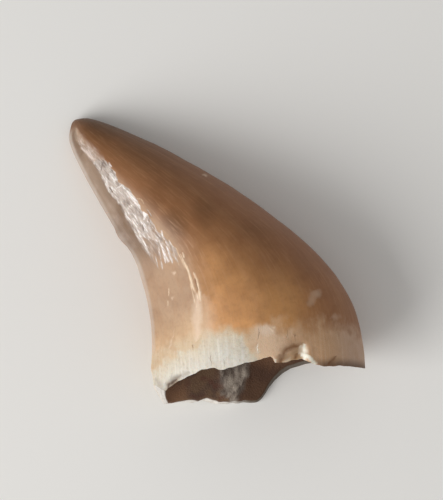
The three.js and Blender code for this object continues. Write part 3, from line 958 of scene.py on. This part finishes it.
def cracks(tree, table, wobble):
    """The share of fine cracks: each is a long thin ball of gradient, 1 in its middle and 0 on its skin,
    in coordinates that the wobble bends sideways, by half the bend on average."""
    metres = add(tree, "TexCoord").outputs["Object"]
    bend = {0: wobble, 1: (CRACK_BEND * MM, 0.0, 0.0), 2: metres}
    bent = add(tree, "VectorMath", bend, operation="MULTIPLY_ADD").outputs[0]
    share = 0.0
    for (x, y), length, width in table:
        place = {
            "Vector": bent,
            "Location": ((x + CRACK_BEND / 2) * MM, y * MM, CRACK_LEVEL * MM),
            "Scale": (width / 2 * MM, length / 2 * MM, CRACK_REACH * MM),
        }
        ball = add(tree, "Mapping", place, vector_type="TEXTURE").outputs[0]
        inside = add(tree, "TexGradient", {"Vector": ball}, gradient_type="SPHERICAL").outputs["Fac"]
        share = add(tree, "Math", {0: share, 1: inside}, operation="MAXIMUM").outputs[0]
    limits = dict(zip(LEVEL_SOCKETS, (share, 0.0, 0.5)))
    return add(tree, "MapRange", limits, **SMOOTH).outputs[0]


ENAMEL_MASKS = (
    "flake", "gleam", "tone", "sliver", "gap", "pale", "weathered", "chalk", "hollow", "stained_edge",
    "bright_break", "ochre", "umber", "honey", "haze", "flank", "facet", "peach", "strip", "shade",
    "line", "frayed", "grimy", "around",
)


def enamel():
    """Fossil enamel, dense apatite stained brown by iron and polished by wear: a satin gloss over a
    slightly see-through skin, matt where it is weathered to chalk, silvery where it has flaked."""
    material, tree = new_material("fossil_enamel")
    # Real hair lines, scratches and dust are finer. Here they are as coarse as they need to be to show.
    pattern = patterns(tree, ENAMEL_MASKS, {
        "cloud": ("object", 4.54, 3.0, 0.42, 0.68),
        "mottle": ("object", 1.82, 4.0, 0.46, 0.74),
        "streak": ("grain", (1.0, 1.0, 12.5), 4.0, 0.42, 0.72),
        "hairline": ("grain", (0.25, 0.25, 4.0), 3.0, 0.46, 0.74),
        "scratch": ("grain", (0.28, 0.28, 1.4), 3.0, 0.48, 0.72),
        "fringe": ("object", (1.11, 1.43, 1.11), 5.0, 0.3, 0.7),
        "fibre": ("grain", (0.17, 0.17, 0.77), 4.0, 0.3, 0.7),
        "dust": ("object", 0.4, 4.0, 0.45, 0.7),
        "grit": ("object", 0.11, 3.0, 0.3, 0.7),
        "speck": ("object", (0.28, 0.38, 0.28), 2.0, 0.55, 0.7),
        "wobble": ("object", 0.67, 2.0, 0.2, 0.8),
    })
    pattern["weathered_zone"] = fringed(tree, pattern["weathered"], pattern["fringe"], 0.5, 1.1)
    pattern["chalk_zone"] = fringed(tree, pattern["chalk"], pattern["fringe"], 0.9, 0.9)
    pattern["crack"] = cracks(tree, CRACKS, pattern["wobble"])
    pattern["bright_edge"] = cracks(tree, BRIGHT_EDGES, pattern["wobble"])
    fibrous = {0: pattern["fibre"], 1: 0.4, 2: pattern["tone"]}
    pattern["fibrous_tone"] = add(tree, "Math", fibrous, operation="MULTIPLY_ADD").outputs[0]
    for name, grain, zone in (("flaky", "fibre", "flake"), ("gritty", "grit", "weathered_zone")):
        factors = {0: pattern[grain], 1: pattern[zone]}
        pattern[name] = add(tree, "Math", factors, operation="MULTIPLY").outputs[0]

    cream = layered(tree, pattern, "CDB596", [
        (("around", 0.42, 0.54), 1.0, "DFBE9E"),
        (("around", 0.6, 0.76), 1.0, "CBA27C"),
        (("around", 0.8, 0.96), 1.0, "C1A088"),
        ("hairline", 0.16, "EBDAC4"),
        ("mottle", 0.4, "B58B66"),
        ("speck", 0.14, "94704F"),
    ])
    white = layered(tree, pattern, "D2C5AF", [
        (("chalk", 0.0, 2.2), 1.0, "D4CFC3"),
        ("dust", 0.26, "B9AA96"),
        ("mottle", 0.3, "B7A690"),
        ("hairline", 0.26, "F4EEE6"),
        ("speck", 0.2, "968570"),
    ])
    # The band's tone carries painted highlights on its ridges and painted shade in its bowls.
    silver = layered(tree, pattern, "8A7A70", [
        (("fibrous_tone", 0.2, 0.75), 1.0, "BCADA2"),
        (("fibrous_tone", 0.7, 1.15), 1.0, "F4ECE6"),
    ])
    # Pale worn enamel near the tip, with painted sheen.
    worn_enamel_sheen = layered(tree, pattern, "8E7665", [(("fibrous_tone", 0.3, 1.2), 1.0, "D9C9BF")])
    rear_strip = layered(tree, pattern, "806A59", [
        ("mottle", 0.7, "A79284"),
        ("hairline", 0.2, "C2AD9E"),
        ("shade", 0.6, "6A5038"),
    ])
    base = layered(tree, pattern, "8F613D", [
        ("ochre", 1.0, "CA935A"),
        # Painted highlight in warm yellow-brown, a broad pool of light low on the dome.
        ("honey", 1.0, "DBA169"),
        # Darker towards the tip and in the clouds, among them painted shade over the crown's crest.
        ("umber", 1.0, "593819"),
        ("flank", 0.8, "905F3F"),
        ("haze", 1.0, "AE8E72"),
        ("facet", 1.0, "B29276"),
        ("peach", 1.0, "D4B28D"),
        ("cloud", 0.3, "845633"),
        ("mottle", 0.22, "744A2C"),
        ("streak", 0.07, "C79B74"),
        ("dust", 0.1, "6F4A2F"),
        ("scratch", 0.17, "C08F68"),
        ("frayed", "scratch", "C39D7C"),
        ("strip", 0.9, rear_strip),
        # Painted rim light along the rear edge.
        ("line", 0.6, "CBBFB4"),
        ("weathered_zone", 1.0, cream),
        # Pale scars and streaks; the one at the tip is painted rim light.
        ("pale", 1.0, "E6CDB5"),
        # Pale splinters, their brightness partly painted glint.
        ("sliver", 1.0, "ECD2B4"),
        # Painted shadow between two splinters.
        ("gap", 0.7, "6B4A34"),
        ("chalk_zone", 1.0, white),
        ("crack", 0.45, "76563C"),
        ("bright_edge", 0.9, "FBF2E2"),
        ("flake", 1.0, silver),
        # Painted sheen on the worn band near the tip.
        ("gleam", 0.9, worn_enamel_sheen),
        ("hollow", 0.7, "B8956F"),
        # Grime and painted shade at the chip and along the front end's edge.
        ("grimy", 0.75, "4A3628"),
        # Stain and painted shade along the hollows' edges.
        ("stained_edge", 0.9, "74481F"),
        # Clean white break, partly painted glint.
        ("bright_break", 1.0, "FDF6E4"),
    ])
    roughness = layered(tree, pattern, 0.42, [
        ("dust", 0.25, 0.55),
        ("weathered_zone", 1.0, 0.6),
        ("chalk_zone", 1.0, 0.85),
        ("flake", 1.0, 0.36),
        ("gleam", 1.0, 0.34),
        ("sliver", 1.0, 0.3),
        ("hollow", 1.0, 0.45),
        ("bright_break", 1.0, 0.25),
    ], "FLOAT")
    return finished(material, {
        "Base Color": base,
        "Roughness": roughness,
        "Normal": raised(tree, pattern, [
            ("streak", 0.006),
            ("hairline", 0.004),
            ("flaky", 0.035),
            ("gritty", 0.01),
            ("crack", -0.03),
        ]),
        "IOR": 1.5,
        "Specular IOR Level": 0.3,
        "Subsurface Weight": 0.12,
        "Subsurface Radius": (1.0, 0.55, 0.3),
        "Subsurface Scale": 1.2 * MM,
    })


def fracture():
    """Broken dentine: dull, grainy and pale, with the enamel's thin brown edge outside it, and stained
    brown along the cavity and on the front half of the resting wall."""
    material, tree = new_material("broken_dentine")
    pattern = patterns(tree, ("through_wall", "stained"), {
        "stain": ("object", 1.25, 3.0, 0.45, 0.7),
        "grit": ("object", 0.14, 3.0, 0.3, 0.7),
    })
    base = layered(tree, pattern, "F2ECE4", [
        ("stain", 0.25, "9C8670"),
        ("grit", 0.3, "DAD0C4"),
        (("through_wall", 0.84, 0.97), 0.7, "DCCDB8"),
        (("through_wall", 0.25, 0.02), 0.8, "6E5746"),
        ("stained", 0.9, "51412F"),
    ])
    return finished(material, {
        "Base Color": base,
        "Normal": raised(tree, pattern, [("grit", 0.04)]),
        "Roughness": 0.8,
        "IOR": 1.55,
        "Specular IOR Level": 0.25,
    })


def pulp_lining():
    """Lining of the pulp cavity: brown sediment stain with reddish patches, and a crust of small grey
    crystals that glint."""
    material, tree = new_material("stained_pulp_lining")
    pattern = patterns(tree, ("crystal", "tone", "stained", "pale_lining"), {
        "cloud": ("object", 2.22, 3.0, 0.42, 0.62),
        "rust": ("object", 1.43, 3.0, 0.5, 0.68),
        "grit": ("object", 0.17, 3.0, 0.3, 0.7),
    })
    # Crystal tones, with painted glints on the brightest.
    crystals = layered(tree, pattern, "5A4C42", [("tone", 1.0, "C3B5A5")])
    base = layered(tree, pattern, "7B5D44", [
        ("cloud", 1.0, "60463A"),
        ("rust", 0.75, "6B4032"),
        ("grit", 0.25, "8A745F"),
        ("stained", 0.85, "482B16"),
        ("pale_lining", 0.75, "946A4C"),
        ("crystal", 0.9, crystals),
    ])
    return finished(material, {
        "Base Color": base,
        "Normal": raised(tree, pattern, [("grit", 0.03)]),
        "Roughness": layered(tree, pattern, 0.7, [("crystal", 1.0, 0.35)], "FLOAT"),
        "IOR": 1.55,
        "Specular IOR Level": 0.3,
    })


def build_tooth():
    """The tooth's one skin with its three finishes: enamel, broken dentine and pulp lining."""
    points, masks, grain = tooth_skin()
    slots = np.repeat([2, 1, 0], [PULP_ROWS, RIM_ROWS, CROWN_ROWS])
    tooth = build_mesh("tooth_crown", points, masks, grain, slots)
    for material in (enamel(), fracture(), pulp_lining()):
        tooth.data.materials.append(material)
    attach(tooth, "root")
    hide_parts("tooth")


# --- Surroundings ---
# In millimetres: the camera's place, the height that it takes in on the floor, and its sensor's.
CAMERA_AT = (0.6, 1.3, 300.0)
FRAME_HEIGHT = 60.0
SENSOR = 36.0
# The nearest that it sees and the floor's side, in metres.
NEAREST = 0.01
FLOOR_SIDE = 2.0
# The key light's direction from the tooth, its distance and side in metres and its watts, and then the
# strength of the even light.
KEY_DIRECTION = (-0.76, -0.37, 0.51)
KEY_DISTANCE = 0.6
KEY_SIDE = 0.5
KEY_POWER = 3.2
ROOM_LIGHT = 0.42


def build_floor():
    """A plain pale floor under the tooth, of uncoated paper, which is matt and mirrors nothing."""
    mesh = bpy.data.meshes.new("floor")
    half = FLOOR_SIDE / 2
    corners = [(-half, -half, 0), (half, -half, 0), (half, half, 0), (-half, half, 0)]
    mesh.from_pydata(corners, [], [(0, 1, 2, 3)])
    floor = bpy.data.objects.new("floor", mesh)
    bpy.context.scene.collection.objects.link(floor)
    paper, _ = new_material("pale_paper")
    mesh.materials.append(finished(paper, {"Base Color": "F0EEEA", "Roughness": 0.9}))


def add_key_light():
    """A square soft light that faces the tooth."""
    data = bpy.data.lights.new("key", "AREA")
    data.size = KEY_SIDE
    data.energy = KEY_POWER
    lamp = bpy.data.objects.new("key", data)
    direction = Vector(KEY_DIRECTION).normalized()
    lamp.location = direction * KEY_DISTANCE
    lamp.rotation_euler = direction.to_track_quat("Z", "Y").to_euler()
    bpy.context.scene.collection.objects.link(lamp)


def add_camera():
    """Straight down on the tooth. The lens's length is the sensor's times the camera's height over the
    height that it takes in."""
    data = bpy.data.cameras.new("camera")
    data.sensor_width = SENSOR
    data.lens = SENSOR * CAMERA_AT[2] / FRAME_HEIGHT
    data.clip_start = NEAREST
    camera = bpy.data.objects.new("camera", data)
    camera.location = [c * MM for c in CAMERA_AT]
    bpy.context.scene.collection.objects.link(camera)
    bpy.context.scene.camera = camera


def set_world():
    """A faint even light from all round."""
    world = bpy.data.worlds.new("soft_room")
    world.use_nodes = True
    background = world.node_tree.nodes["Background"]
    background.inputs["Color"].default_value = colour("FFFFFF")
    background.inputs["Strength"].default_value = ROOM_LIGHT
    bpy.context.scene.world = world
    bpy.context.scene.view_settings.view_transform = "Standard"


add_camera()
build_tooth()
build_floor()
set_world()
add_key_light()
